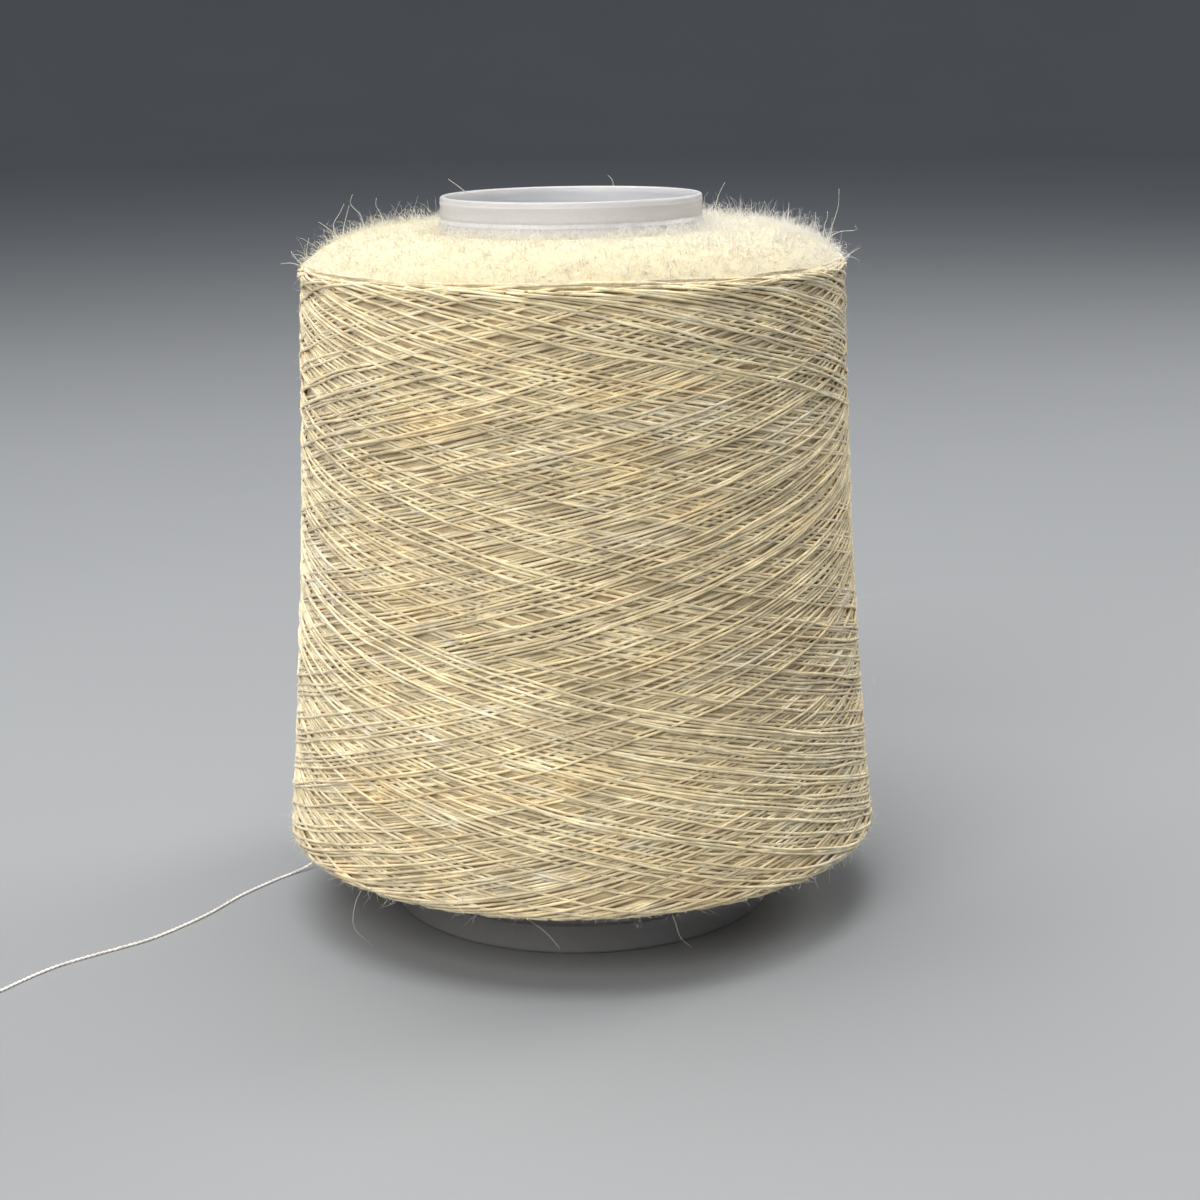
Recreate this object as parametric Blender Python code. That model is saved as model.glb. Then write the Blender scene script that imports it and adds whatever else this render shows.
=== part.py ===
"""A small cone of yarn: fine yarn cross-wound on a thin conical plastic tube.

The tube stands on its wide foot, with its narrow nose showing above the winding. The yarn's
loose end leaves the winding's lower edge, drops to the surface and runs out along it.
Metres, +Z up. The origin is the middle of the foot ring, on the surface that the tube stands on.
"""

import math

import bmesh
import bpy
from mathutils import Vector

MM = 0.001
TOUCH_GAP = 0.3 * MM  # left between pieces that touch, which meshes can't share exactly

# The tube, a thin cone that is open at both ends.
TUBE_HEIGHT = 108.0 * MM
TUBE_WALL = 1.4 * MM
FOOT_RADIUS = 29.1 * MM
NOSE_RADIUS = 19.2 * MM
FOOT_ROUND = 0.6 * MM  # rounding of the foot's outer edge
FOOT_BAND_HEIGHT = 4.2 * MM  # the foot's thicker band
FOOT_BAND_STEP = 0.35 * MM
FOOT_RING_WIDTH = 2.4 * MM  # the flat ring that stands on the surface
NOSE_GROOVE_HEIGHT = 104.9 * MM  # middle of a shallow groove round the nose
NOSE_GROOVE_WIDTH = 0.8 * MM
NOSE_GROOVE_DEPTH = 0.22 * MM
NOSE_BEAD_HEIGHT = 1.0 * MM  # the rounded bead at the top edge
NOSE_BEAD_STEP = 0.25 * MM
TUBE_SIDES = 72
TUBE_ARC_STEPS = 4

# The winding, a slightly waisted cone with a domed upper end.
WINDING_FOOT_RADIUS = 45.3 * MM
WINDING_FOOT_HEIGHT = 13.2 * MM  # where it is widest
WINDING_SHOULDER_RADIUS = 40.3 * MM
WINDING_SHOULDER_HEIGHT = 97.4 * MM
WAIST_DEPTH = 0.8 * MM  # how far the side is hollowed at half height
FOOT_CORNER = 1.9 * MM  # corner roundings of the winding's section
FOOT_CORNER_TURN = 72.0  # degrees
SHOULDER_CORNER = 0.8 * MM
SHOULDER_CORNER_TURN = 42.0
CORNER_STEPS = 3
DOME_HEIGHT = 103.4 * MM  # the upper end, flat by the tube and steep by the shoulder
DOME_POWER = 4
COLLAR_DIP = 0.7 * MM  # how far it turns down right round the tube
COLLAR_POWER = 8
DOME_ROWS = 9
DOME_CROWDING = 1.4  # over 1, the dome's rows stand closer together by the shoulder
UNDERSIDE_HEIGHT = 6.4 * MM  # the lower end where it meets the tube
UNDERSIDE_ROWS = 3
INNER_WALL_ROWS = 3
LOPSIDE = 0.25 * MM  # how far the side is out of round
LOPSIDE_TWIST = 2.2  # radians that the long axis turns through on its way up

# The main turns that stand proud, on a lattice whose diagonals are the two winding directions.
YARN_DIAMETER = 0.42 * MM
WINDING_RISE = 72.0 * MM  # height that the yarn gains in one turn
WINDING_STARTS = 40  # lattice diagonals in each direction
RIDGE_HEIGHT = 1.1 * YARN_DIAMETER
RIDGE_FADE = 5.0 * MM  # the ridges sink into the corners over this height
# How unevenly the diagonals are filled, as (share of the ridge height, radians at each start).
RISING_WAVES = ((0.60, 2.9), (0.35, 1.3))
FALLING_WAVES = ((0.55, 2.6), (0.40, 4.4))
EVEN_SHARE = 0.15

# The loose end, on the surface but for its drop from the winding's lower edge.
TAIL_POINTS = 80
TAIL_BEVEL_STEPS = 2
ON_SURFACE = 0.5 * YARN_DIAMETER + 0.01 * MM
TAIL_ROUTE_MM = (  # x, y, height of the yarn's middle over the surface
    (-36.6, 18.6, 9.65),
    (-38.4, 16.0, 8.6),
    (-40.1, 13.2, 5.6),
    (-41.9, 10.6, 2.3),
    (-44.2, 8.2, 0.55),
    (-47.2, 5.2, 0.0),
    (-50.0, 1.8, 0.0),
    (-54.0, -4.0, 0.0),
    (-57.6, -10.9, 0.0),
    (-61.3, -16.4, 0.0),
    (-65.0, -20.9, 0.0),
    (-68.9, -24.1, 0.0),
    (-72.7, -27.0, 0.0),
    (-76.4, -30.1, 0.0),
    (-79.8, -34.2, 0.0),
    (-83.0, -39.0, 0.0),
    (-86.6, -43.8, 0.0),
    (-91.2, -47.0, 0.0),
    (-96.4, -47.6, 0.0),
    (-101.0, -45.4, 0.0),
)


def clear_scene():
    """Removes the objects that the scene opens with."""
    for found in list(bpy.data.objects):
        bpy.data.objects.remove(found, do_unlink=True)


def material(name, colour, roughness, alpha=1.0):
    """A Principled material of one colour."""
    made = bpy.data.materials.new(name)
    made.use_nodes = True
    shader = made.node_tree.nodes["Principled BSDF"]
    shader.inputs["Base Color"].default_value = (*colour, 1.0)
    shader.inputs["Roughness"].default_value = roughness
    shader.inputs["Metallic"].default_value = 0.0
    shader.inputs["Alpha"].default_value = alpha
    return made


def add_object(name, data, finish):
    """Puts mesh or curve data in the scene as one named object."""
    made = bpy.data.objects.new(name, data)
    made.data.materials.append(finish)
    bpy.context.scene.collection.objects.link(made)
    return made


def arc(centre_radius, centre_height, radius, start_deg, end_deg, steps):
    """Points of a rounding in a section, as (radius from the axis, height)."""
    points = []
    for step in range(steps + 1):
        angle = math.radians(start_deg + (end_deg - start_deg) * step / steps)
        points.append(
            (
                centre_radius + radius * math.cos(angle),
                centre_height + radius * math.sin(angle),
            )
        )
    return points


def tube_radius(height):
    """The tube's outer radius at a height, without its bands and bead."""
    return FOOT_RADIUS + (NOSE_RADIUS - FOOT_RADIUS) * height / TUBE_HEIGHT


def tube_section():
    """The tube wall's section, from the foot up the outside and down the inside."""
    foot = FOOT_RADIUS + FOOT_BAND_STEP
    points = arc(foot - FOOT_ROUND, FOOT_ROUND, FOOT_ROUND, -90.0, 0.0, TUBE_ARC_STEPS)
    band_top = FOOT_BAND_HEIGHT
    points.append((tube_radius(band_top) + FOOT_BAND_STEP, band_top))
    points.append((tube_radius(band_top + FOOT_BAND_STEP), band_top + FOOT_BAND_STEP))
    half_groove = 0.5 * NOSE_GROOVE_WIDTH
    for offset, depth in ((-half_groove, 0.0), (0.0, NOSE_GROOVE_DEPTH), (half_groove, 0.0)):
        height = NOSE_GROOVE_HEIGHT + offset
        points.append((tube_radius(height) - depth, height))
    bead_foot = TUBE_HEIGHT - NOSE_BEAD_HEIGHT - NOSE_BEAD_STEP
    bead_radius = NOSE_RADIUS + NOSE_BEAD_STEP
    points.append((tube_radius(bead_foot), bead_foot))
    lip = 0.5 * TUBE_WALL
    points += arc(
        bead_radius - lip, TUBE_HEIGHT - lip, lip, 0.0, 180.0, 2 * TUBE_ARC_STEPS
    )
    inner_nose = bead_radius - TUBE_WALL
    inner_foot = FOOT_RADIUS - TUBE_WALL
    foot_shelf = FOOT_BAND_HEIGHT + FOOT_RING_WIDTH
    slope = (inner_foot - inner_nose) / TUBE_HEIGHT
    points.append((inner_foot - slope * foot_shelf, foot_shelf))
    points.append((foot - FOOT_RING_WIDTH, FOOT_BAND_HEIGHT))
    points.append((foot - FOOT_RING_WIDTH, 0.0))
    return points


def revolve(name, section, sides):
    """A closed section in the XZ plane, turned once round +Z into a solid."""
    build = bmesh.new()
    corners = [build.verts.new((radius, 0.0, height)) for radius, height in section]
    edges = [
        build.edges.new((corners[i], corners[(i + 1) % len(corners)]))
        for i in range(len(corners))
    ]
    bmesh.ops.spin(
        build,
        geom=corners + edges,
        cent=(0.0, 0.0, 0.0),
        axis=(0.0, 0.0, 1.0),
        angle=2.0 * math.pi,
        steps=sides,
        use_merge=True,
    )
    bmesh.ops.recalc_face_normals(build, faces=build.faces)
    return finished_mesh(name, build)


def finished_mesh(name, build):
    """Writes a bmesh out as a mesh that is shaded smooth but for its sharp edges."""
    mesh = bpy.data.meshes.new(name)
    build.to_mesh(mesh)
    build.free()
    mesh.shade_smooth()
    mesh.set_sharp_from_angle(angle=math.radians(35.0))
    return mesh


def share_up_side(height):
    """How far up the winding's side a height is, from 0 to 1."""
    span = WINDING_SHOULDER_HEIGHT - WINDING_FOOT_HEIGHT
    return min(1.0, max(0.0, (height - WINDING_FOOT_HEIGHT) / span))


def side_radius(height):
    """The winding's mean radius at a height on its side, without the ridges."""
    share = share_up_side(height)
    taper = WINDING_FOOT_RADIUS + share * (WINDING_SHOULDER_RADIUS - WINDING_FOOT_RADIUS)
    return taper - WAIST_DEPTH * math.sin(math.pi * share)


def out_of_round(angle, height):
    """How far the side departs from a true circle."""
    share = share_up_side(height)
    turn = math.sin(2.0 * angle + LOPSIDE_TWIST * share)
    return LOPSIDE * turn * math.sin(math.pi * share)


def bundle_height(start, waves):
    """How far the turns laid on one lattice diagonal stand proud, uneven but repeatable."""
    beat = sum(share * math.sin(turn * start) for share, turn in waves)
    return RIDGE_HEIGHT * max(0.0, EVEN_SHARE + beat)


def ridge(half_step, row, height):
    """How far a lattice point stands proud, from the rising and the falling turns on it."""
    rising = (half_step - row) // 2 % WINDING_STARTS
    falling = (half_step + row) // 2 % WINDING_STARTS
    proud = max(
        bundle_height(rising, RISING_WAVES), bundle_height(falling, FALLING_WAVES)
    )
    from_corner = min(height - WINDING_FOOT_HEIGHT, WINDING_SHOULDER_HEIGHT - height)
    return proud * min(1.0, max(0.0, from_corner / RIDGE_FADE))


def straight(start, end, steps):
    """Points of a straight stretch of a section, after its start."""
    return [
        (
            start[0] + (end[0] - start[0]) * step / steps,
            start[1] + (end[1] - start[1]) * step / steps,
        )
        for step in range(1, steps + 1)
    ]


def dome_section(edge_radius, edge_height):
    """The winding's upper end, from after the shoulder in to the tube."""
    tube_side = tube_radius(DOME_HEIGHT - COLLAR_DIP) + TOUCH_GAP
    points = []
    for row in range(1, DOME_ROWS + 1):
        outward = 1.0 - (row / DOME_ROWS) ** DOME_CROWDING
        drop = (DOME_HEIGHT - edge_height) * outward**DOME_POWER
        dip = COLLAR_DIP * (1.0 - outward) ** COLLAR_POWER
        radius = tube_side + (edge_radius - tube_side) * outward
        points.append((radius, DOME_HEIGHT - drop - dip))
    return points


def winding_rows():
    """The winding's section as (radius, height, whether ridges stand on it), as a closed loop."""
    rise_each_row = WINDING_RISE / (2 * WINDING_STARTS)
    span = WINDING_SHOULDER_HEIGHT - WINDING_FOOT_HEIGHT
    count = round(span / rise_each_row)
    heights = [WINDING_FOOT_HEIGHT + span * row / count for row in range(count + 1)]
    shoulder = arc(
        WINDING_SHOULDER_RADIUS - SHOULDER_CORNER,
        WINDING_SHOULDER_HEIGHT,
        SHOULDER_CORNER,
        0.0,
        SHOULDER_CORNER_TURN,
        CORNER_STEPS,
    )
    dome = dome_section(*shoulder[-1])
    foot = arc(
        WINDING_FOOT_RADIUS - FOOT_CORNER,
        WINDING_FOOT_HEIGHT,
        FOOT_CORNER,
        -FOOT_CORNER_TURN,
        0.0,
        CORNER_STEPS,
    )
    tube_low = (tube_radius(UNDERSIDE_HEIGHT) + TOUCH_GAP, UNDERSIDE_HEIGHT)
    inner_wall = straight(dome[-1], tube_low, INNER_WALL_ROWS)
    underside = straight(tube_low, foot[0], UNDERSIDE_ROWS)
    side = [(side_radius(height), height, True) for height in heights]
    ends = shoulder[1:] + dome + inner_wall + underside + foot[1:-1]
    return side + [(radius, height, False) for radius, height in ends]


def winding_mesh():
    """The wound form, as rows of points that are each turned half a step from the last."""
    rows = winding_rows()
    step = 2.0 * math.pi / WINDING_STARTS
    build = bmesh.new()
    rings = []
    for index, (radius, height, ridged) in enumerate(rows):
        ring = []
        for point in range(WINDING_STARTS):
            half_step = 2 * point + index % 2
            angle = 0.5 * step * half_step
            far = radius
            if ridged:
                far += ridge(half_step, index, height) + out_of_round(angle, height)
            place = (far * math.cos(angle), far * math.sin(angle), height)
            ring.append(build.verts.new(place))
        rings.append(ring)
    for index, ring in enumerate(rings):
        join_rings(build, ring, rings[(index + 1) % len(rings)], index % 2)
    bmesh.ops.recalc_face_normals(build, faces=build.faces)
    return finished_mesh("winding", build)


def join_rings(build, lower, upper, lower_is_shifted):
    """Zigzag triangles between two rings that are turned half a step from each other."""
    count = len(lower)
    for point in range(count):
        after = (point + 1) % count
        if lower_is_shifted:
            build.faces.new((lower[point], upper[after], upper[point]))
            build.faces.new((lower[point], lower[after], upper[after]))
        else:
            build.faces.new((lower[point], lower[after], upper[point]))
            build.faces.new((lower[after], upper[after], upper[point]))


def route_points():
    """The loose end's own route, in metres."""
    return [
        Vector((x * MM, y * MM, ON_SURFACE + over * MM)) for x, y, over in TAIL_ROUTE_MM
    ]


def smooth_line(points, count):
    """Evenly spaced points on a Catmull-Rom curve through the given points."""
    fine_steps = 12
    padded = [2 * points[0] - points[1], *points, 2 * points[-1] - points[-2]]
    fine = []
    for index in range(1, len(padded) - 2):
        before, start, end, after = padded[index - 1 : index + 3]
        for step in range(fine_steps):
            t = step / fine_steps
            fine.append(
                0.5
                * (
                    2 * start
                    + (end - before) * t
                    + (2 * before - 5 * start + 4 * end - after) * t**2
                    + (3 * start - before - 3 * end + after) * t**3
                )
            )
    fine.append(points[-1])
    along = [0.0]
    for start, end in zip(fine, fine[1:]):
        along.append(along[-1] + (end - start).length)
    line = []
    segment = 0
    for index in range(count):
        target = along[-1] * index / (count - 1)
        while segment < len(fine) - 2 and along[segment + 1] < target:
            segment += 1
        share = (target - along[segment]) / (along[segment + 1] - along[segment])
        point = fine[segment].lerp(fine[segment + 1], min(1.0, share))
        point.z = max(point.z, ON_SURFACE)
        line.append(point)
    return line


def tail_curve():
    """The loose end as a round tube along its route, with closed ends."""
    curve = bpy.data.curves.new("tail", "CURVE")
    curve.dimensions = "3D"
    curve.bevel_depth = 0.5 * YARN_DIAMETER
    curve.bevel_resolution = TAIL_BEVEL_STEPS
    curve.use_fill_caps = True
    line = smooth_line(route_points(), TAIL_POINTS)
    spline = curve.splines.new("POLY")
    spline.points.add(len(line) - 1)
    for point, place in zip(spline.points, line):
        point.co = (*place, 1.0)
    return curve


def main():
    clear_scene()
    tube_finish = material("frosted_plastic", (0.86, 0.84, 0.85), 0.42, alpha=0.9)
    yarn_finish = material("cream_yarn", (0.80, 0.70, 0.48), 0.85)
    add_object("tube", revolve("tube", tube_section(), TUBE_SIDES), tube_finish)
    add_object("winding", winding_mesh(), yarn_finish)
    add_object("tail", tail_curve(), yarn_finish)


main()
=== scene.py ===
import math

import bmesh
import bpy
import numpy as np
from mathutils import Matrix, Vector


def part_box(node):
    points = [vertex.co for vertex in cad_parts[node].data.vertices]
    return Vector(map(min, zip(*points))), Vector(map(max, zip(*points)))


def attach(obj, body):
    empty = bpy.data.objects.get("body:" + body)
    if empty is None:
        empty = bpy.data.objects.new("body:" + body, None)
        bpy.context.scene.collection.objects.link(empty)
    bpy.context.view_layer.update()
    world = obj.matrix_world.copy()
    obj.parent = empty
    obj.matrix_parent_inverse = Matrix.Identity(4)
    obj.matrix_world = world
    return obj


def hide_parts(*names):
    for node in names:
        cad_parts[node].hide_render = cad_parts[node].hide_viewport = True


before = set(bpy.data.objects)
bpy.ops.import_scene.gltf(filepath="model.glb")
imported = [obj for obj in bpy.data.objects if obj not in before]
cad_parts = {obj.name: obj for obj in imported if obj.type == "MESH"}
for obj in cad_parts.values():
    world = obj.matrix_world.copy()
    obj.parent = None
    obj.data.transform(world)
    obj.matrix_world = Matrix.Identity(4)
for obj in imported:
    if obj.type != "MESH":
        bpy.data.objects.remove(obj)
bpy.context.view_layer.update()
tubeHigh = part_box("tube")[1]
windingLow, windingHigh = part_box("winding")
mm = 0.001
print("frame:", len(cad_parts), "solids, with a tube", round(tubeHigh.z / mm, 1), "mm tall")

fullTurn = 2.0 * math.pi
goldenShare = 0.6180339887  # of a turn from one start to the next, which spaces them evenly
mergeWithin = 1e-7

# sizes that several pieces share
yarn = {
    "thickness": 0.43 * mm,
    "angle": 14.3,  # degrees from level at which the yarn is laid
    "sides": 6,
}
halfYarn = 0.5 * yarn["thickness"]
form = {
    "footRadius": windingHigh.x,
    "footHeight": 13.2 * mm,  # where the winding is widest
    "footCorner": 1.9 * mm,
    "footEnd": 0.95,  # how far down this corner the underside starts, of its radius
    "shoulderRadius": 40.3 * mm,
    "shoulderHeight": 97.4 * mm,
    "shoulderCorner": 0.8 * mm,
    "domeEnd": 0.65,  # how far up this corner the dome starts, of its radius
    "cornerShown": 0.97,  # share of a corner's radius that its arc runs through
    "waist": 0.8 * mm,  # how far the side is hollowed at half height
    "domeHeight": 103.4 * mm,
    "domePower": 4,
    "collarDip": 0.7 * mm,  # how far the dome turns down right round the tube
    "collarPower": 8,
    "underHeight": windingLow.z,  # the underside where it meets the tube
    "tubeGap": 0.3 * mm,
    "tubeFoot": 29.1 * mm,  # the tube's outer radius at the surface and at its top
    "tubeNose": 19.2 * mm,
}


# camera and lights

cameraSetup = {
    "place": (0.0, -333.1 * mm, 128.7 * mm),
    "down": 13.92,  # degrees below level
    "aside": 0.58,  # degrees to the right
    "roll": -0.88,
    "lens": 66.72,
    "sensor": 36.0,
    "near": 10.0 * mm,
}


def addCamera(setup):
    lens = bpy.data.cameras.new("camera")
    lens.lens = setup["lens"]
    lens.sensor_width = setup["sensor"]
    lens.clip_start = setup["near"]
    camera = bpy.data.objects.new("camera", lens)
    bpy.context.scene.collection.objects.link(camera)
    turn = (
        Matrix.Rotation(-math.radians(setup["aside"]), 3, "Z")
        @ Matrix.Rotation(math.radians(90.0 - setup["down"]), 3, "X")
        @ Matrix.Rotation(math.radians(setup["roll"]), 3, "Z")
    )
    camera.matrix_world = Matrix.Translation(setup["place"]) @ turn.to_4x4()
    bpy.context.scene.camera = camera


lightSetup = {
    # name: place, width, height, watts, colour
    "overhead": ((-0.12, 0.05, 0.80), 0.75, 0.75, 9.5, (1.0, 0.98, 0.94)),
    "front": ((-0.45, -0.95, 0.82), 0.7, 0.7, 11.2, (1.0, 0.98, 0.95)),
    "right": ((0.75, 0.45, 0.60), 0.4, 0.4, 4.0, (1.0, 0.98, 0.93)),
}
skySetup = {"colour": (0.77, 0.83, 0.93), "strength": 0.25}


def addLights(setup, sky):
    aim = Vector((0.0, 0.0, 55.0 * mm))
    for name, (place, width, height, watts, colour) in setup.items():
        lamp = bpy.data.lights.new(name, "AREA")
        lamp.shape = "RECTANGLE"
        lamp.size = width
        lamp.size_y = height
        lamp.energy = watts
        lamp.color = colour
        light = bpy.data.objects.new(name, lamp)
        bpy.context.scene.collection.objects.link(light)
        light.location = place
        light.rotation_euler = (aim - light.location).to_track_quat("-Z", "Y").to_euler()
    world = bpy.data.worlds.new("studio")
    bpy.context.scene.world = world
    world.use_nodes = True
    background = world.node_tree.nodes["Background"]
    background.inputs["Color"].default_value = (*sky["colour"], 1.0)
    background.inputs["Strength"].default_value = sky["strength"]
    bpy.context.scene.view_settings.view_transform = "Standard"


# materials


class Wire:
    # one output socket; the operators on it add Math nodes
    def __init__(self, finish, socket):
        self.finish = finish
        self.socket = socket

    def maths(self, operation, *values):
        inputs = dict(enumerate(values))
        return self.finish.node("ShaderNodeMath", {"operation": operation}, inputs)

    def __add__(self, other):
        return self.maths("ADD", self, other)

    def __radd__(self, other):
        return self.maths("ADD", other, self)

    def __sub__(self, other):
        return self.maths("SUBTRACT", self, other)

    def __rsub__(self, other):
        return self.maths("SUBTRACT", other, self)

    def __mul__(self, other):
        return self.maths("MULTIPLY", self, other)

    def __rmul__(self, other):
        return self.maths("MULTIPLY", other, self)


class Finish:
    # a material; the values that are the same all over are set on its shader's own sockets
    def __init__(self, name, same):
        self.material = bpy.data.materials.new(name)
        self.material.use_nodes = True
        self.tree = self.material.node_tree
        self.shader = self.tree.nodes["Principled BSDF"]
        for socket, value in same.items():
            self.shader.inputs[socket].default_value = value

    def node(self, kind, settings=None, inputs=None, output=0):
        made = self.tree.nodes.new(kind)
        for setting, value in (settings or {}).items():
            if setting == "stops":
                self.setStops(made.color_ramp.elements, value)
            else:
                setattr(made, setting, value)
        for socket, value in (inputs or {}).items():
            if isinstance(value, Wire):
                self.tree.links.new(value.socket, made.inputs[socket])
            else:
                made.inputs[socket].default_value = value
        return Wire(self, made.outputs[output])

    def setStops(self, elements, stops):
        while len(elements) < len(stops):
            elements.new(0.5)
        for element, (place, colour) in zip(elements, stops):
            element.position = place
            element.color = (*colour, 1.0)

    def feed(self, socket, wire):
        self.tree.links.new(wire.socket, self.shader.inputs[socket])

    def place(self):
        return self.node("ShaderNodeTexCoord", output="Object")

    def squeezed(self, place, upward):
        # a place with its height scaled
        scale = (1.0, 1.0, upward)
        return self.node("ShaderNodeMapping", {}, {"Vector": place, "Scale": scale})

    def coordinate(self, place, number):
        return self.node("ShaderNodeSeparateXYZ", {}, {0: place}, output=number)

    def attribute(self, name):
        return self.node("ShaderNodeAttribute", {"attribute_name": name}, output="Fac")

    def noise(self, place, scale, detail=3.0):
        return self.node(
            "ShaderNodeTexNoise", {}, {"Vector": place, "Scale": scale, "Detail": detail}
        )

    def patches(self, place, scale, level, sharpness, detail=2.0):
        # 0 where a cloudy pattern reaches a level, and more past it
        return (self.noise(place, scale, detail) - level) * sharpness

    def past(self, value, start, width):
        # 0 where a value is at start, and 1 a width further on
        return (value - start) * (1.0 / width)

    def ramp(self, share, stops):
        return self.node("ShaderNodeValToRGB", {"stops": stops}, {"Fac": share})

    def blend(self, share, first, second, how="MIX"):
        inputs = {0: share, 6: first, 7: second}
        for socket in (6, 7):
            if isinstance(inputs[socket], tuple):
                inputs[socket] = (*inputs[socket], 1.0)
        return self.node(
            "ShaderNodeMix", {"data_type": "RGBA", "blend_type": how}, inputs, output=2
        )

    def bump(self, height, strength, distance):
        inputs = {"Height": height, "Strength": strength, "Distance": distance}
        return self.node("ShaderNodeBump", {}, inputs)


def yarnFinish(name, shade):
    # cream singles yarn: each turn has its own tint, and patches of turns share another
    same = {
        "Roughness": 0.9,
        "Specular IOR Level": 0.25,
        "Sheen Weight": 0.4,
        "Sheen Roughness": 0.4,
        "Subsurface Weight": 0.4,
        "Subsurface Radius": (1.0, 0.8, 0.5),
        "Subsurface Scale": 0.5 * mm,
    }
    finish = Finish(name, same)
    place = finish.place()
    along = finish.attribute("along")
    tint = finish.attribute("tint")
    own = finish.ramp(
        tint,
        (
            (0.0, (0.585, 0.48, 0.315)),
            (0.35, (0.725, 0.595, 0.375)),
            (0.7, (0.845, 0.69, 0.43)),
            (1.0, (0.96, 0.805, 0.52)),
        ),
    )
    drawn = finish.squeezed(place, 2.2)
    warm = finish.patches(drawn, scale=60.0, level=0.54, sharpness=5.0)
    pale = finish.patches(drawn, scale=95.0, level=0.57, sharpness=3.5)
    patched = finish.blend(pale, finish.blend(warm, own, (0.86, 0.66, 0.375)), (0.84, 0.745, 0.565))
    slub = finish.noise(finish.node("ShaderNodeCombineXYZ", {}, {0: along, 1: tint}), 300.0, 1.0)
    mottle = finish.blend(slub, (0.6,) * 3, (1.4,) * 3)
    colour = finish.blend(1.0, patched, mottle, "MULTIPLY")
    for scale, least, most in ((130.0, 0.6, 1.4), (430.0, 0.65, 1.35)):
        tone = finish.blend(finish.noise(drawn, scale, 1.0), (least,) * 3, (most,) * 3)
        colour = finish.blend(1.0, colour, tone, "MULTIPLY")
    finish.feed("Base Color", finish.blend(1.0, colour, shade, "MULTIPLY"))
    plyPitch = 1.3 * mm
    around = finish.coordinate(finish.node("ShaderNodeUVMap"), 1)
    lean = along * (fullTurn / plyPitch) + around * (2.0 * fullTurn)
    ply = finish.node("ShaderNodeMath", {"operation": "SINE"}, {0: lean})
    finish.feed("Normal", finish.bump(ply * 0.5 + finish.noise(place, 9000.0), 0.35, 0.05 * mm))
    return finish.material


def packedFinish(name):
    # the yarn under the turns that are modelled: seen between them on the side, and
    # matted like felt on the upper end
    same = {
        "Roughness": 0.95,
        "Sheen Weight": 0.2,
        "Subsurface Weight": 0.7,
        "Subsurface Radius": (1.0, 0.9, 0.7),
        "Subsurface Scale": 0.8 * mm,
    }
    finish = Finish(name, same)
    place = finish.place()
    rows = finish.squeezed(place, 9.0)
    strands = finish.noise(rows, 260.0, 3.0)
    felt = finish.noise(place, 900.0, 4.0)
    # painted shade: the side is painted darker than the turns' yarn, for the shade between and
    # under them
    side = finish.blend(strands, (0.50, 0.40, 0.235), (0.77, 0.635, 0.405))
    top = finish.blend(felt, (0.565, 0.49, 0.31), (0.62, 0.555, 0.39))
    height = finish.coordinate(place, 2)
    upper = finish.past(height, start=form["shoulderHeight"] + 0.3 * mm, width=mm)
    finish.feed("Base Color", finish.blend(upper, side, top))
    finish.feed("Normal", finish.bump(strands + felt, 0.5, 0.1 * mm))
    return finish.material


def fuzzFinish(name):
    # fibres so fine that light goes through them
    same = {
        "Roughness": 0.7,
        "Specular IOR Level": 0.2,
        "Sheen Weight": 0.2,
        "Subsurface Weight": 1.0,
        "Subsurface Radius": (1.0, 1.0, 0.9),
        "Subsurface Scale": 0.2 * mm,
    }
    finish = Finish(name, same)
    tint = finish.attribute("tint")
    finish.feed("Base Color", finish.blend(tint, (0.43, 0.37, 0.217), (0.52, 0.50, 0.455)))
    return finish.material


def plasticFinish():
    # frosted polypropylene: light gets through the wall, and fine rings are drawn round it
    same = {
        "Roughness": 0.45,
        "IOR": 1.49,
        "Subsurface Weight": 0.5,
        "Subsurface Radius": (1.0, 0.95, 0.95),
        "Subsurface Scale": 2.0 * mm,
        "Transmission Weight": 0.45,
    }
    finish = Finish("frostedPlastic", same)
    place = finish.place()
    rings = finish.squeezed(place, 14.0)
    streaks = finish.patches(rings, scale=60.0, level=0.3, sharpness=2.5, detail=3.0)
    outer = finish.blend(streaks, (0.85, 0.83, 0.85), (0.98, 0.955, 0.975))
    # painted shade: the inner wall is painted darker than the outer, for the shade inside the bore
    inner = finish.blend(streaks, (0.66, 0.68, 0.72), (0.84, 0.855, 0.89))
    height = finish.coordinate(place, 2)
    level = finish.squeezed(place, 0.0)
    radius = finish.node("ShaderNodeVectorMath", {"operation": "LENGTH"}, {0: level}, output=1)
    slope = (form["tubeFoot"] - form["tubeNose"]) / tubeHigh.z
    depth = form["tubeFoot"] - height * slope - radius
    inside = finish.past(depth, start=0.6 * mm, width=0.2 * mm)
    wall = finish.blend(inside, outer, inner)
    # painted shade: the wall is painted darker towards its thicker foot, for the shade it lies in
    # deep under the yarn
    foot = finish.past(height, start=13.0 * mm, width=-5.0 * mm)
    wall = finish.blend(foot, wall, (0.45, 0.44, 0.435))
    # painted shade: the lip is painted darker, to dim the highlight that the lamps put on it
    lip = finish.past(height, start=tubeHigh.z - 0.5 * mm, width=0.3 * mm)
    finish.feed("Base Color", finish.blend(lip, wall, (0.68, 0.67, 0.69)))
    grain = finish.noise(rings, 90.0, 4.0) + finish.noise(place, 2600.0)
    finish.feed("Normal", finish.bump(grain, 0.25, 0.1 * mm))
    return finish.material


def floorFinish():
    finish = Finish("paleFloor", {"Roughness": 0.65})
    cloud = finish.noise(finish.place(), 6.0)
    finish.feed("Base Color", finish.blend(cloud, (0.245, 0.255, 0.27), (0.27, 0.28, 0.295)))
    return finish.material


# the floor, which sweeps up far away on every side

floorSetup = {
    "flat": 2.4,  # radius at which it starts to rise
    "sweep": 1.4,  # radius of the curve in which it rises
    "rise": 62.0,  # degrees of that curve
    "rings": 12,
    "steps": 72,
}


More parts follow.
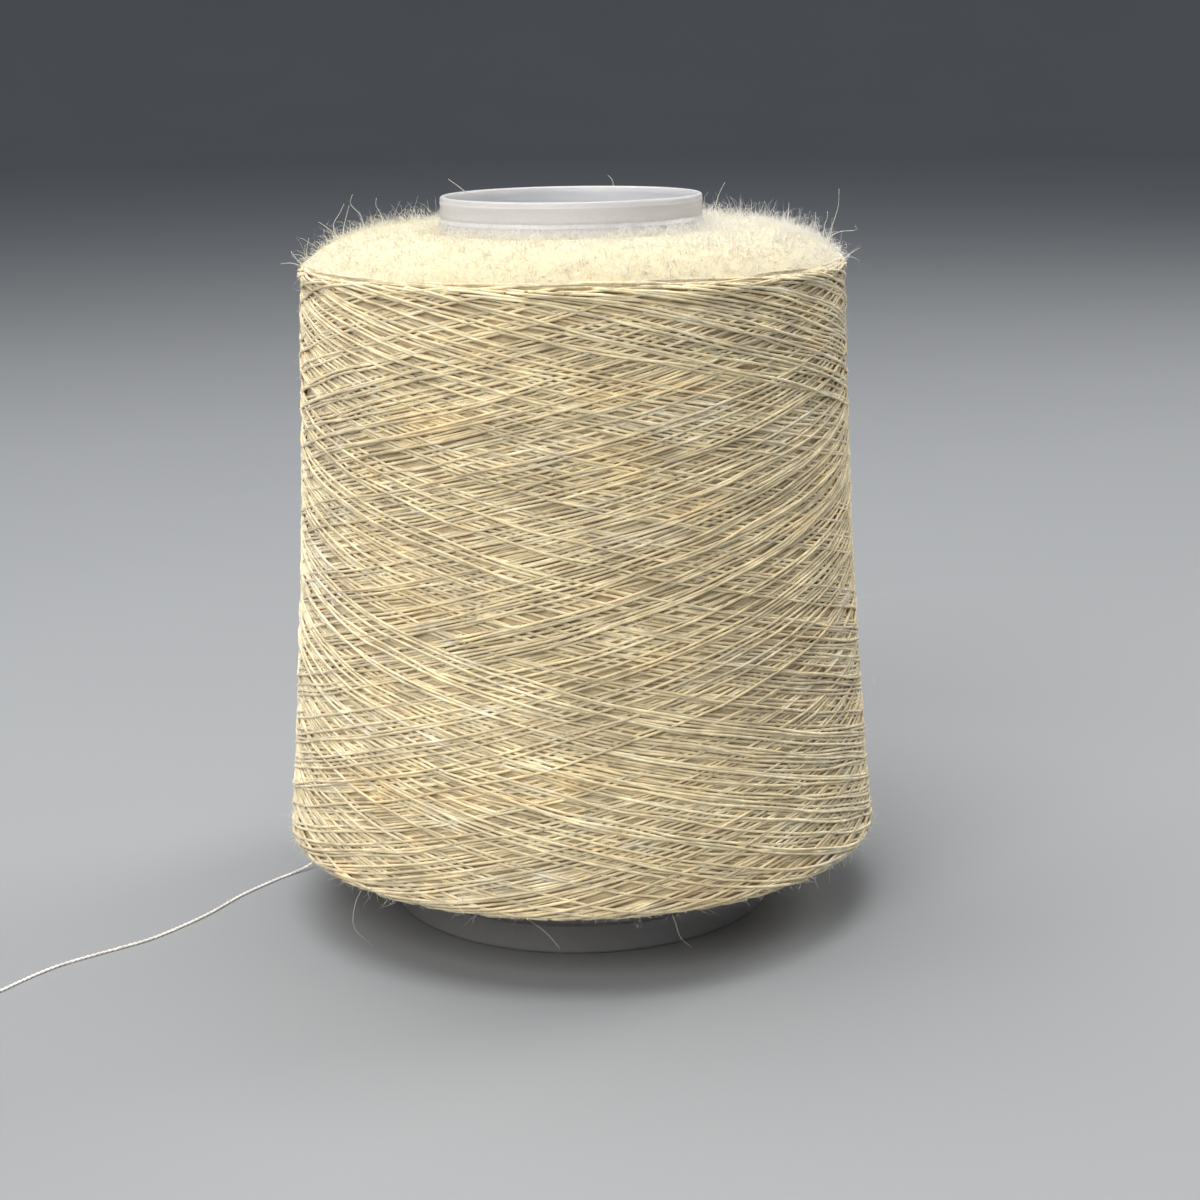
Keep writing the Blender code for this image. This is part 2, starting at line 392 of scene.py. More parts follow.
def layFloor(setup, finish):
    section = [(0.0, 0.0)]
    for ring in range(setup["rings"] + 1):
        turn = math.radians(setup["rise"]) * ring / setup["rings"]
        height = setup["sweep"] * (1.0 - math.cos(turn))
        section.append((setup["flat"] + setup["sweep"] * math.sin(turn), height))
    mesh = spinProfile("floor", section, setup["steps"], closed=False)
    if mesh.polygons[0].normal.z < 0.0:
        mesh.flip_normals()
    addPiece(mesh, finish, slot=None)


# the winding's form


def sideRadius(height):
    # the winding's outer radius at heights on its side, its two corners included
    rise = form["shoulderHeight"] - form["footHeight"]
    share = np.clip((height - form["footHeight"]) / rise, 0.0, 1.0)
    radius = form["footRadius"] + share * (form["shoulderRadius"] - form["footRadius"])
    radius = radius - form["waist"] * np.sin(math.pi * share)
    foot, shoulder = form["footCorner"], form["shoulderCorner"]
    under = np.clip(form["footHeight"] - height, 0.0, form["cornerShown"] * foot)
    over = np.clip(height - form["shoulderHeight"], 0.0, form["cornerShown"] * shoulder)
    radius -= foot - np.sqrt(foot**2 - under**2)
    return radius - shoulder + np.sqrt(shoulder**2 - over**2)


def tubeRadius(height):
    return form["tubeFoot"] + (form["tubeNose"] - form["tubeFoot"]) * height / tubeHigh.z


def domeHeightAt(radius):
    # the height of the winding's upper end at radii from the tube to the shoulder
    inner = tubeRadius(form["domeHeight"])
    edge = form["shoulderHeight"] + form["domeEnd"] * form["shoulderCorner"]
    outward = np.clip((radius - inner) / (form["shoulderRadius"] - inner), 0.0, 1.0)
    drop = (form["domeHeight"] - edge) * outward ** form["domePower"]
    return form["domeHeight"] - drop - form["collarDip"] * (1 - outward) ** form["collarPower"]


def underHeightAt(radius):
    # the height of the winding's underside
    inner = tubeRadius(form["underHeight"])
    outer = form["footRadius"] - form["footCorner"]
    share = np.clip((radius - inner) / (outer - inner), 0.0, 1.0)
    top = form["footHeight"] - form["footEnd"] * form["footCorner"]
    return form["underHeight"] + (top - form["underHeight"]) * share


# meshes from lines


def addPiece(mesh, finish, slot="cream_yarn", replaced="winding"):
    mesh.materials.clear()
    mesh.materials.append(finish)
    piece = bpy.data.objects.new(mesh.name, mesh)
    bpy.context.scene.collection.objects.link(piece)
    if slot:
        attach(piece, "root")
        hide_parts(replaced)
    triangles = sum(len(face.vertices) - 2 for face in mesh.polygons)
    print(piece.name + ":", triangles, "triangles")
    return piece


def polar(radius, turn, height):
    # points at a distance from the axis, an angle about it and a height
    return np.c_[radius * np.cos(turn), radius * np.sin(turn), height]


def alongLine(line):
    # the length of a line up to each of its points
    return np.cumsum(np.r_[0.0, np.linalg.norm(np.diff(line, axis=0), axis=1)])


def sweepLines(name, lines, radii, sides, tints):
    # round closed threads along many lines, as one mesh; each line has its own radii
    curve = bpy.data.curves.new(name, "CURVE")
    curve.dimensions = "3D"
    curve.bevel_depth = 1.0
    curve.bevel_resolution = (sides - 4) // 2
    curve.use_fill_caps = True
    for line, radius in zip(lines, radii):
        spline = curve.splines.new("POLY")
        spline.points.add(len(line) - 1)
        spline.points.foreach_set("co", np.c_[line, np.ones(len(line))].ravel())
        spline.points.foreach_set("radius", np.broadcast_to(radius, len(line)).copy())
    guide = bpy.data.objects.new(name, curve)
    bpy.context.scene.collection.objects.link(guide)
    bpy.context.view_layer.update()
    swept = guide.evaluated_get(bpy.context.evaluated_depsgraph_get())
    mesh = bpy.data.meshes.new_from_object(swept)
    mesh.name = name
    bpy.data.objects.remove(guide)
    bpy.data.curves.remove(curve)
    # the caps' points come first, from the last line back, and then each line's rings
    alongs = [alongLine(line) for line in lines]
    capAlongs = [along[[-1, 0]] for along in alongs[::-1]]
    ringTints = np.repeat(tints, [len(line) for line in lines])
    for label, caps, rings in (
        ("tint", np.repeat(tints[::-1], 2), ringTints),
        ("along", np.concatenate(capAlongs), np.concatenate(alongs)),
    ):
        values = np.repeat(np.r_[caps, rings], sides)
        mesh.attributes.new(label, "FLOAT", "POINT").data.foreach_set("value", values)
    build = bmesh.new()
    build.from_mesh(mesh)
    bmesh.ops.remove_doubles(build, verts=build.verts, dist=mergeWithin)
    build.to_mesh(mesh)
    build.free()
    mesh.shade_smooth()
    return mesh


def spinProfile(name, profile, steps, smoothAngle=40.0, closed=True):
    # a line of (radius, height) points spun round the axis
    build = bmesh.new()
    corners = [build.verts.new((radius, 0.0, height)) for radius, height in profile]
    following = corners[1:] + (corners[:1] if closed else [])
    edges = [build.edges.new(pair) for pair in zip(corners, following)]
    bmesh.ops.spin(
        build,
        geom=corners + edges,
        cent=(0.0, 0.0, 0.0),
        axis=(0.0, 0.0, 1.0),
        angle=fullTurn,
        steps=steps,
        use_merge=True,
    )
    bmesh.ops.remove_doubles(build, verts=build.verts, dist=mergeWithin)
    bmesh.ops.recalc_face_normals(build, faces=build.faces)
    mesh = bpy.data.meshes.new(name)
    build.to_mesh(mesh)
    build.free()
    mesh.shade_smooth()
    mesh.set_sharp_from_angle(angle=math.radians(smoothAngle))
    return mesh


# hairs

# what a piece's own settings leave out
hair = {
    "sides": 4,
    "slim": 0.5,  # power with which a hair thins towards its tip
    "thickness": (0.8, 1.2),  # of its piece's radius
    "tip": 0.4 * mergeWithin,  # so fine a tip is merged into a point
    "astray": 0.4,  # how much a hair wanders at each point, of its curl
    "offTube": 0.05 * mm,
    "curl": 0.5,
    "points": 4,
}


def unit(vectors):
    return vectors / np.linalg.norm(vectors, axis=1, keepdims=True)


def growHairs(name, setup, draw, roots, normals, tints, finish):
    # each hair sets off at its own slant and curls its own way
    setup = {**hair, **setup}
    count = len(roots)
    aside = unit(np.cross(normals, draw.normal(size=(count, 3))))
    stand = draw.beta(*setup["stand"], (count, 1))
    heading = unit(normals * stand + aside * (1.0 - stand))
    lengths = draw.lognormal(math.log(setup["length"]), setup["spread"], (count, 1))
    step = np.minimum(lengths, setup["longest"]) / (setup["points"] - 1)
    curl = setup["curl"] * draw.normal(size=(count, 3))
    line = [roots]
    for _ in range(setup["points"] - 1):
        line.append(line[-1] + heading * step)
        astray = setup["astray"] * setup["curl"] * draw.normal(size=(count, 3))
        heading = unit(heading + np.cross(curl, heading) + astray)
    taper = np.linspace(1.0, 0.0, setup["points"]) ** setup["slim"]
    radii = setup["radius"] * draw.uniform(*setup["thickness"], (count, 1)) * taper
    radii = np.maximum(radii, setup["tip"])
    lines = np.stack(line, axis=1)
    # none goes into the floor or the tube
    lines[:, :, 2] = np.maximum(lines[:, :, 2], 2.0 * setup["radius"])
    clear = tubeRadius(lines[:, :, 2]) + setup["offTube"]
    away = clear / np.hypot(lines[:, :, 0], lines[:, :, 1])
    lines[:, :, :2] *= np.maximum(away, 1.0)[:, :, None]
    return addPiece(sweepLines(name, lines, radii, setup["sides"], tints), finish)


# the loose end

tail = {
    "length": 99.95 * mm,
    "ply": 0.12 * mm,  # a ply's radius
    "apart": 0.11 * mm,  # from the middle of the yarn to the middle of a ply
    "pitch": 1.7 * mm,
    "onFloor": 0.235 * mm,  # height of the yarn's middle where it lies on the floor
    "pathPoints": 80,
    "points": 480,
    "shade": (1.04, 1.19, 1.7),
    "tints": [0.75, 0.95],
    "sides": 8,
}
tailDown = {
    "count": 420,
    "length": 0.55 * mm,
    "spread": 0.4,
    "longest": 1.6 * mm,
    "stand": (2.0, 3.0),
    "curl": 0.4,
    "radius": 0.014 * mm,
    "bare": 4,  # points of the yarn's line before the first hair
    "white": (0.5, 1.0),
    "seed": 32,
}
# from the winding's lower left edge down to the floor and out to the left; the third number
# is the height over where the yarn lies on the floor, and all are in mm
tailRoute = [
    (-36.6, 18.6, 9.65),
    (-38.4, 16.0, 8.6),
    (-40.1, 13.2, 5.6),
    (-41.9, 10.6, 2.3),
    (-44.2, 8.2, 0.55),
    (-47.2, 5.2, 0.0),
    (-50.0, 1.8, 0.0),
    (-54.0, -4.0, 0.0),
    (-57.6, -10.9, 0.0),
    (-61.3, -16.4, 0.0),
    (-65.0, -20.9, 0.0),
    (-68.9, -24.1, 0.0),
    (-72.7, -27.0, 0.0),
    (-76.4, -30.1, 0.0),
    (-79.8, -34.2, 0.0),
    (-83.0, -39.0, 0.0),
    (-86.6, -43.8, 0.0),
    (-91.2, -47.0, 0.0),
    (-96.4, -47.6, 0.0),
    (-101.0, -45.4, 0.0),
]


def smoothLine(route, count, between=12):
    # an even, smooth line through a route's points
    padded = np.vstack([2 * route[0] - route[1], route, 2 * route[-1] - route[-2]])
    share = np.linspace(0.0, 1.0, between, endpoint=False)[:, None]
    fine = []
    for before, start, end, after in zip(padded, padded[1:], padded[2:], padded[3:]):
        square = 2 * before - 5 * start + 4 * end - after
        cube = 3 * start - before - 3 * end + after
        fine.append(start + 0.5 * share * (end - before + share * (square + share * cube)))
    line = np.vstack([*fine, route[-1:]])
    along = alongLine(line)
    even = np.linspace(0.0, along[-1], count)
    return np.stack([np.interp(even, along, line[:, axis]) for axis in range(3)], axis=1)


def buildTail(setup, down, route, finish, downFinish):
    line = smoothLine(np.array(route) * mm, setup["points"])
    line[:, 2] = np.maximum(line[:, 2], 0.0) + setup["onFloor"]
    ahead = unit(np.gradient(line, axis=0))
    aside = unit(np.cross(ahead, (0.0, 0.0, 1.0)))
    above = np.cross(aside, ahead)
    along = np.linspace(0.0, setup["length"], setup["points"])
    turn = (fullTurn * along / setup["pitch"])[:, None]
    offset = setup["apart"] * (np.cos(turn) * aside + np.sin(turn) * above)
    plies = [line + offset, line - offset]
    mesh = sweepLines("loose_end", plies, [setup["ply"]] * 2, setup["sides"], setup["tints"])
    piece = addPiece(mesh, finish, replaced="tail")
    draw = np.random.default_rng(down["seed"])
    roots = line[draw.integers(down["bare"], setup["points"], down["count"])]
    # mostly sideways and up, because the yarn lies on the floor
    normals = unit(draw.normal(size=roots.shape) * (1.0, 1.0, 0.4) + (0.0, 0.0, 0.5))
    white = draw.uniform(*down["white"], len(roots))
    fuzz = growHairs("loose_end_down", down, draw, roots, normals, white, downFinish)


# the side's turns, laid one after another

sideTurns = {
    "laid": 900,  # passes from end to end
    "shown": 640,  # the last of them are built where they show
    "together": (6, 28),  # passes laid side by side before the next ones start elsewhere
    "pitch": (1.7, 5.2),  # from one of them to the next, of the yarn's thickness
    "paired": 0.12,  # share of them that lie right against the one before
    "pairPitch": (0.9, 1.3),
    "groupTint": (1.4, 0.65),  # shape of its beta draw, and its share of a turn's tint
    "ownTint": (2.0, 0.35),
    # painted light and shade: the last turns, which lie on top, are painted lighter than the first
    # ones under them
    "paintedTopLight": 0.25,  # how much the last turns' tint is above the first ones'
    "angleSpread": 0.6,  # degrees, from one such group to the next
    "angleWithin": 0.15,  # degrees, in a group
    "startSpread": 2.0 * mm,  # how far a group starts from its even place
    "turnRound": (14.0 * mm, 28.0 * mm),  # length over which a pass slows to its end
    "low": 11.6 * mm,
    "high": 98.2 * mm,
    "endSpread": 0.2 * mm,
    "waver": 0.10 * mm,  # height of each wave
    "waves": 3,
    "waveLength": (14.0 * mm, 60.0 * mm),
    "nest": 0.3,  # how thick a turn lies on those under it, of its thickness
    "slip": 1,  # cells that a turn may slide aside into a groove
    "slipOver": (25, 31),  # steps over which groove and slide are evened out
    "liftOver": 7,  # steps over which a turn's lift is evened out
    "block": 3,  # steps taken together to find a taut line
    "softness": 0.2,  # bend per mm with which a turn follows hollows under it
    "press": 1.2 * mm,  # hollows and humps wider than this are pressed level
    "deepest": 3.0 * mm,  # no hollow counts as deeper
    "most": 0.2 * mm,  # no turn stands out by more than this
    "squash": 0.8,  # how much of the remaining hollows' depth is kept
    "dive": 1.3 * mm,  # how deep a pass ends inside
    "diveOver": 4.0 * mm,  # length over which it goes in
    "outerShare": 88,  # percent of the ground that the measured form lies over
    "outerOver": 1.5 * mm,  # how far up and down that form is evened out
    "seenMargin": 2.5 * mm,  # how far a turn is built past where it shows
    "seenCells": 4.0,  # its own cells there, above which it shows
    "cellUp": 0.1 * mm,
    "cellAround": 0.25 * mm,
    "margin": 8,  # cells past each end
    "step": 0.2 * mm,
    "pointEvery": 3.6 * mm,
    "pieces": 3,
    "seed": 5,
}


def plannedPasses(setup, draw, meanRadius):
    # passes run up and down by turns; each is (angle, start, upwards, tint)
    shape, share = setup["groupTint"]
    ownShape, ownShare = setup["ownTint"]
    groups = [{"left": 0, "count": 0.0}, {"left": 0, "count": 0.5}]
    for index in range(setup["laid"]):
        group = groups[index % 2]
        if group["left"] == 0:
            group["count"] += 1
            group["left"] = draw.integers(*setup["together"])
            group["angle"] = yarn["angle"] + draw.normal(0.0, setup["angleSpread"])
            off = draw.normal(0.0, setup["startSpread"]) / meanRadius
            group["start"] = fullTurn * goldenShare * group["count"] + off
            group["tint"] = draw.beta(shape, shape) * share
        group["left"] -= 1
        angle = math.radians(group["angle"] + draw.normal(0.0, setup["angleWithin"]))
        close = draw.uniform() < setup["paired"]
        across = yarn["thickness"] * draw.uniform(*setup["pairPitch" if close else "pitch"])
        group["start"] += across / math.sin(angle) / meanRadius
        tint = group["tint"] + draw.beta(ownShape, ownShape) * ownShare
        # painted light and shade: turns laid later, nearer the top, get a lighter tint
        tint += setup["paintedTopLight"] * (index / setup["laid"] - 0.5)
        yield angle, group["start"], index % 2 == 0, tint


def passPath(setup, draw, angle, start, upwards):
    # one pass as (turn about the axis, height) at even steps along the yarn
    low = setup["low"] + draw.exponential(setup["endSpread"])
    high = setup["high"] - draw.exponential(setup["endSpread"])
    turnRound = draw.uniform(*setup["turnRound"])
    length = (high - low) / math.sin(angle) + turnRound
    along = np.arange(0.0, length, setup["step"])
    ease = np.clip(along / turnRound, 0.0, 1.0)
    ease *= np.clip((length - along) / turnRound, 0.0, 1.0)
    rise = np.cumsum(ease)
    height = low + (high - low) * rise / rise[-1]
    for _ in range(setup["waves"]):
        wave = fullTurn * along / draw.uniform(*setup["waveLength"])
        height = height + setup["waver"] * np.sin(wave + draw.uniform(0, fullTurn)) * ease
    if not upwards:
        height = height[::-1]
    turn = start + np.cumsum(setup["step"] * math.cos(angle) / sideRadius(height))
    return turn, height


def gridRow(setup, height):
    return ((height - setup["low"]) / setup["cellUp"]).astype(int) + setup["margin"]


def runningMean(values, width):
    padded = np.pad(values, (width // 2, width - 1 - width // 2), "edge")
    sums = np.cumsum(np.r_[0.0, padded])
    return (sums[width:] - sums[:-width]) / width


def tautOver(support, spacing, bend):
    # the line that a taut yarn takes over its support, both as heights over a round ground
    place = np.arange(len(support)) * spacing
    dip = 0.5 * bend * place**2
    hull = []
    for here in zip(place.tolist(), (support - dip).tolist()):
        while len(hull) > 1:
            (x1, y1), (x2, y2) = hull[-2:]
            if (y2 - y1) * (here[0] - x2) > (here[1] - y2) * (x2 - x1):
                break
            hull.pop()
        hull.append(here)
    x, y = zip(*hull)
    return np.interp(place, x, y) + dip


def layTurns(setup):
    # lays every pass over those before it, on a grid of heights round the winding
    draw = np.random.default_rng(setup["seed"])
    meanRadius = 0.5 * (form["footRadius"] + form["shoulderRadius"])
    rows = int((setup["high"] - setup["low"]) / setup["cellUp"]) + 2 * setup["margin"]
    columns = int(fullTurn * meanRadius / setup["cellAround"])
    ground = np.zeros((rows, columns))
    owner = np.full((rows, columns), -1)
    reach = int(halfYarn / setup["cellUp"])
    across = np.arange(-reach, reach + 1)
    bulge = setup["nest"] * np.sqrt(halfYarn**2 - (across * setup["cellUp"]) ** 2)
    slips = np.arange(-setup["slip"], setup["slip"] + 1)
    block = setup["block"]
    grooveOver, slideOver = setup["slipOver"]
    passes = []
    for angle, start, upwards, tint in plannedPasses(setup, draw, meanRadius):
        turn, height = passPath(setup, draw, angle, start, upwards)
        count = len(turn) // block * block
        turn, height = turn[:count], height[:count]
        column = (turn / fullTurn * columns).astype(int) % columns
        row = gridRow(setup, height)
        # it slides into the nearest groove
        under = [ground[row[:, None] + slip + across, column[:, None]] for slip in slips]
        choices = [runningMean(cells.max(axis=1), grooveOver) for cells in under]
        slid = runningMean(slips[np.argmin(choices, axis=0)].astype(float), slideOver)
        height = height + slid * setup["cellUp"]
        row = gridRow(setup, height)
        cells = row[:, None] + across, column[:, None]
        support = (ground[cells] + bulge).max(axis=1)
        coarse = support.reshape(-1, block).max(axis=1)
        taut = tautOver(coarse, block * setup["step"], setup["softness"] / mm)
        lift = np.interp(np.arange(count), np.arange(len(taut)) * block + 1, taut)
        lift = runningMean(lift, setup["liftOver"])
        top = lift[:, None] + bulge
        higher = top > ground[cells]
        ground[cells] = np.where(higher, top, ground[cells])
        owner[cells] = np.where(higher, len(passes), owner[cells])
        passes.append((turn, height, lift, row, column, tint))
    print("side: laid", len(passes), "passes")
    return passes, ground, owner


def smoothedGrid(setup, grid, width):
    # a grid of heights blurred by a bell of this width, round the winding and up it
    doubled = np.vstack([grid, grid[::-1]])
    upward = np.fft.fftfreq(doubled.shape[0], setup["cellUp"])[:, None]
    around = np.fft.rfftfreq(doubled.shape[1], setup["cellAround"])[None, :]
    bell = np.exp(-2.0 * (math.pi * width) ** 2 * (upward**2 + around**2))
    blurred = np.fft.irfft2(np.fft.rfft2(doubled) * bell, s=doubled.shape)
    return blurred[: len(grid)]


def pressedGround(setup, ground):
    # how much each place of the grid is pressed in, so that the turns keep the measured form
    outer = np.percentile(ground, setup["outerShare"], axis=1)
    reach = int(setup["outerOver"] / setup["cellUp"])
    windows = np.lib.stride_tricks.sliding_window_view(np.pad(outer, reach, "edge"), 2 * reach + 1)
    outer = runningMean(windows.max(axis=1), 2 * reach)
    humps = np.maximum(ground, outer[:, None] - setup["deepest"]) - outer[:, None]
    pressed = smoothedGrid(setup, humps, setup["press"])
    left = np.percentile(humps - pressed, setup["outerShare"])
    return outer[:, None] + pressed + left


def settled(setup, stands):
    # turns that stand out are pulled in by their own tension
    out = setup["most"] * (1.0 - np.exp(-np.maximum(stands, 0.0) / setup["most"]))
    return out + setup["squash"] * np.minimum(stands, 0.0)


def visibleStretches(setup, passes, owner):
    # the stretches of each pass that no later one covers, as (first, last) steps
    margin = int(setup["seenMargin"] / setup["step"])
    for index in range(setup["laid"] - setup["shown"], setup["laid"]):
        row, column = passes[index][3:5]
        seen = np.zeros(len(row))
        for offset in (-1, 0, 1):
            seen += owner[row + offset, column] == index
        nearby = np.convolve(seen, np.ones(2 * margin + 1), "same") > setup["seenCells"]
        edges = np.flatnonzero(np.diff(np.r_[False, nearby, False].astype(int)))
        for first, last in zip(edges[::2], edges[1::2]):
            if last - first > 2 * margin:
                yield index, first, last - 1


def buildSide(setup, finish):
    passes, ground, owner = layTurns(setup)
    pressed = pressedGround(setup, ground)
    lines, tints = [], []
    every = int(setup["pointEvery"] / setup["step"])
    for index, first, last in visibleStretches(setup, passes, owner):
        turn, height, lift, row, column, tint = passes[index]
        steps = np.unique(np.r_[np.arange(first, last, every), last])
        fromEnd = np.minimum(steps, len(turn) - 1 - steps) * setup["step"] / setup["diveOver"]
        dive = setup["dive"] * np.clip(1.0 - fromEnd, 0.0, 1.0) ** 2
        stands = settled(setup, lift[steps] - pressed[row[steps], column[steps]]) - dive
        if max(stands) < -core["belowSide"] - halfYarn:
            continue
        radius = sideRadius(height[steps]) + stands
        lines.append(polar(radius, turn[steps], height[steps]))
        tints.append(tint)
    for part in range(setup["pieces"]):
        own, ownTints = lines[part :: setup["pieces"]], tints[part :: setup["pieces"]]
        name = f"side_turns_{part + 1}"
        addPiece(sweepLines(name, own, [halfYarn] * len(own), yarn["sides"], ownTints), finish)
    length = sum(alongLine(line)[-1] for line in lines)
    print("side:", round(length, 1), "m of yarn shows")
    return settled(setup, ground - pressed)


# what the side's turns lie on

core = {
    "belowSide": 0.55 * mm,
    "belowDome": 0.08 * mm,
    "belowUnder": 0.35 * mm,
    "sideEnds": (1.2 * mm, 0.4 * mm),  # how far its side stops below the form's two corners
    "domeEnd": 0.2 * mm,  # how far its two ends stop short of its side
    "underEnd": 0.5 * mm,
    "points": (30, 24, 12),  # on its side, its upper end and its underside
    "steps": 160,
}


def buildCore(setup, finish):
    tubeTop = tubeRadius(form["domeHeight"]) + form["tubeGap"]
    tubeEnd = tubeRadius(form["underHeight"]) + form["tubeGap"]
    low = form["footHeight"] - setup["sideEnds"][0]
    high = form["shoulderHeight"] - setup["sideEnds"][1]
    domeOuter = form["shoulderRadius"] - setup["belowSide"] - setup["domeEnd"]
    underOuter = form["footRadius"] - form["footCorner"] - setup["underEnd"]
    onSide, onDome, onUnder = setup["points"]
    profile = []
    for height in np.linspace(low, high, onSide):
        profile.append((sideRadius(height) - setup["belowSide"], height))
    for radius in np.linspace(domeOuter, tubeTop, onDome):
        profile.append((radius, domeHeightAt(radius) - setup["belowDome"]))
    for radius in np.linspace(tubeEnd, underOuter, onUnder):
        profile.append((radius, underHeightAt(radius) + setup["belowUnder"]))
    mesh = spinProfile("packed_core", [(float(r), float(z)) for r, z in profile], setup["steps"])
    addPiece(mesh, finish)


# the two ends, where the yarn turns back

ends = {
    "domeArcs": 70,
    "domeReach": (1.0 * mm, 0.2 * mm),  # from the shoulder; further in, the dome is matted
    "underArcs": 280,
    "underPast": 0.3 * mm,  # how far out the underside's arcs go past its edge
    "length": (16.0 * mm, 30.0 * mm),
    "sink": 1.6 * mm,  # how far an arc's ends go in
    "low": -0.12 * mm,  # how far an arc's middle stands out of the matted surface
    "spread": 0.12 * mm,
    "turnSpread": 0.05,
    "lean": 0.35 * mm,  # how far an arc slants
    "pull": 0.25 * mm,  # how far both its ends draw in
    "tint": (2.5, 1.8),  # shape of its beta draw
    "points": 8,
    "seed": 11,
}


def endArcs(setup, draw, count, inner, outer, surface, inwards):
    # short arcs round the axis that rise out of an end of the winding and go in again
    lines = []
    share = (np.arange(count) + draw.uniform(0.0, 1.0, count)) / count
    radii = np.sqrt(inner**2 + share * (outer**2 - inner**2))
    draw.shuffle(radii)
    along = np.linspace(-1.0, 1.0, setup["points"])
    for index, radius in enumerate(radii):
        middle = fullTurn * goldenShare * index + draw.normal(0.0, setup["turnSpread"])
        length = draw.uniform(*setup["length"])
        turn = middle + 0.5 * along * length / radius
        lean = draw.normal(0.0, setup["lean"])
        own = np.clip(radius + lean * along - setup["pull"] * along**2, inner, outer)
        out = draw.normal(setup["low"], setup["spread"]) - setup["sink"] * along**4
        top = surface(own) - inwards * out
        lines.append(polar(own, turn, top))
    return lines


def buildEnds(setup, finish):
    draw = np.random.default_rng(setup["seed"])
    domeInner, domeOuter = (form["shoulderRadius"] - reach for reach in setup["domeReach"])
    underInner = tubeRadius(form["underHeight"]) + form["tubeGap"] + halfYarn
    underOuter = form["footRadius"] - form["footCorner"] + setup["underPast"]
    for name, count, inner, outer, surface, inwards in (
        ("dome_turns", setup["domeArcs"], domeInner, domeOuter, domeHeightAt, -1.0),
        ("underside_turns", setup["underArcs"], underInner, underOuter, underHeightAt, 1.0),
    ):
        lines = endArcs(setup, draw, count, inner, outer, surface, inwards)
        tints = draw.beta(*setup["tint"], count)
        addPiece(sweepLines(name, lines, [halfYarn] * count, yarn["sides"], tints), finish)


# fuzz

# stand holds the two shape numbers of a beta draw, from 0, lying, to 1, upright, and white
# is added to the hairs' tint
fleece = {
    "fromTube": 0.4 * mm,
    "fromShoulder": 0.1 * mm,
    "spare": 3,  # places drawn for each that is kept
    "kept": (0.62, 0.3),  # share kept in the middle, and its growth towards +X
    "white": (0.30, 0.40, 0.10),  # in the middle, its growth towards +X, and its spread
    "rooted": 0.05 * mm,
}
domeFelt = {
    "count": 8000,
    "length": 1.0 * mm,
    "spread": 0.35,
    "longest": 2.2 * mm,
    "stand": (1.6, 5.0),
    "curl": 0.6,
    "points": 3,
    "radius": 0.021 * mm,
    "white": 0.0,
    "seed": 21,
}
domeDown = {
    "count": 8200,
    "length": 1.6 * mm,
    "spread": 0.55,
    "longest": 4.5 * mm,
    "stand": (3.3, 2.0),
    "curl": 0.65,
    "radius": 0.022 * mm,
    "white": 0.4,
    "seed": 22,
}
domeTufts = {
    "count": 190,
    "hairs": 7,  # in each tuft
    "apart": 0.4 * mm,
    "lean": 0.6,
    "length": 2.3 * mm,
    "spread": 0.35,
    "longest": 4.5 * mm,
    "stand": (6.0, 1.5),
    "curl": 0.55,
    "points": 7,
    "radius": 0.024 * mm,
    "white": 0.5,
    "seed": 24,
}
collarDown = {
    "count": 1700,
    "width": 1.5 * mm,  # how far from the tube it grows
    "length": 1.9 * mm,
    "spread": 0.35,
    "longest": 3.4 * mm,
    "stand": (4.0, 2.0),
    "radius": 0.022 * mm,
    "white": 0.5,
    "seed": 25,
}
edgeDown = {
    "count": 2000,
    "heights": (11.7 * mm, 13.2 * mm),
    "length": 1.2 * mm,
    "spread": 0.5,
    "longest": 3.6 * mm,
    "stand": (1.7, 2.0),
    "radius": 0.02 * mm,
    "seed": 26,
}
sideDown = {
    "count": 5200,
    "heights": (11.9 * mm, 97.8 * mm),
    "length": 0.75 * mm,
    "spread": 0.45,
    "longest": 3.0 * mm,
    "stand": (2.0, 3.0),
    "radius": 0.018 * mm,
    "seed": 23,
}
sideWhite = (0.3, 1.0)
sideRooted = (-0.5 * mm, 0.3 * mm)  # the lowest and highest relief that side hairs start from


def domeHairRoots(setup, draw, count, inner, outer):
    # places on the upper end, closer together towards +X, with the surface's direction there
    many = setup["spare"] * count
    radius = np.sqrt(draw.uniform(inner**2, outer**2, many))
    turn = draw.uniform(0.0, fullTurn, many)
    share, growth = setup["kept"]
    kept = draw.uniform(0.0, 1.0, many) < share + growth * radius / outer * np.cos(turn)
    radius, turn = radius[kept][:count], turn[kept][:count]
    height = domeHeightAt(radius)
    nearby = 0.1 * mm
    slope = (domeHeightAt(radius + nearby) - height) / nearby
    normals = unit(polar(-slope, turn, np.ones(len(turn))))
    roots = polar(radius, turn, height)
    middle, growth, spread = setup["white"]
    white = middle + growth * roots[:, 0] / outer + draw.normal(0.0, spread, len(turn))
    return roots - setup["rooted"] * normals, normals, white


def buildDomeFuzz(felt, down, collar, tufts, finish):
    inner = tubeRadius(form["domeHeight"]) + fleece["fromTube"]
    outer = form["shoulderRadius"] - fleece["fromShoulder"]
    for name, setup, edge in (
        ("dome_felt", felt, outer),
        ("dome_down", down, outer),
        ("collar_down", collar, inner + collar["width"]),
        ("dome_tufts", tufts, outer),
    ):
        draw = np.random.default_rng(setup["seed"])
        roots, normals, white = domeHairRoots(fleece, draw, setup["count"], inner, edge)
        if setup is tufts:
            aside = draw.normal(size=normals.shape) * (1.0, 1.0, 0.3)
            normals = unit(normals + setup["lean"] * aside)
            roots, normals, white = (
                np.repeat(own, setup["hairs"], axis=0) for own in (roots, normals, white)
            )
            roots = roots + setup["apart"] * draw.normal(size=roots.shape) * (1.0, 1.0, 0.2)
        growHairs(name, setup, draw, roots, normals, white + setup["white"], finish)


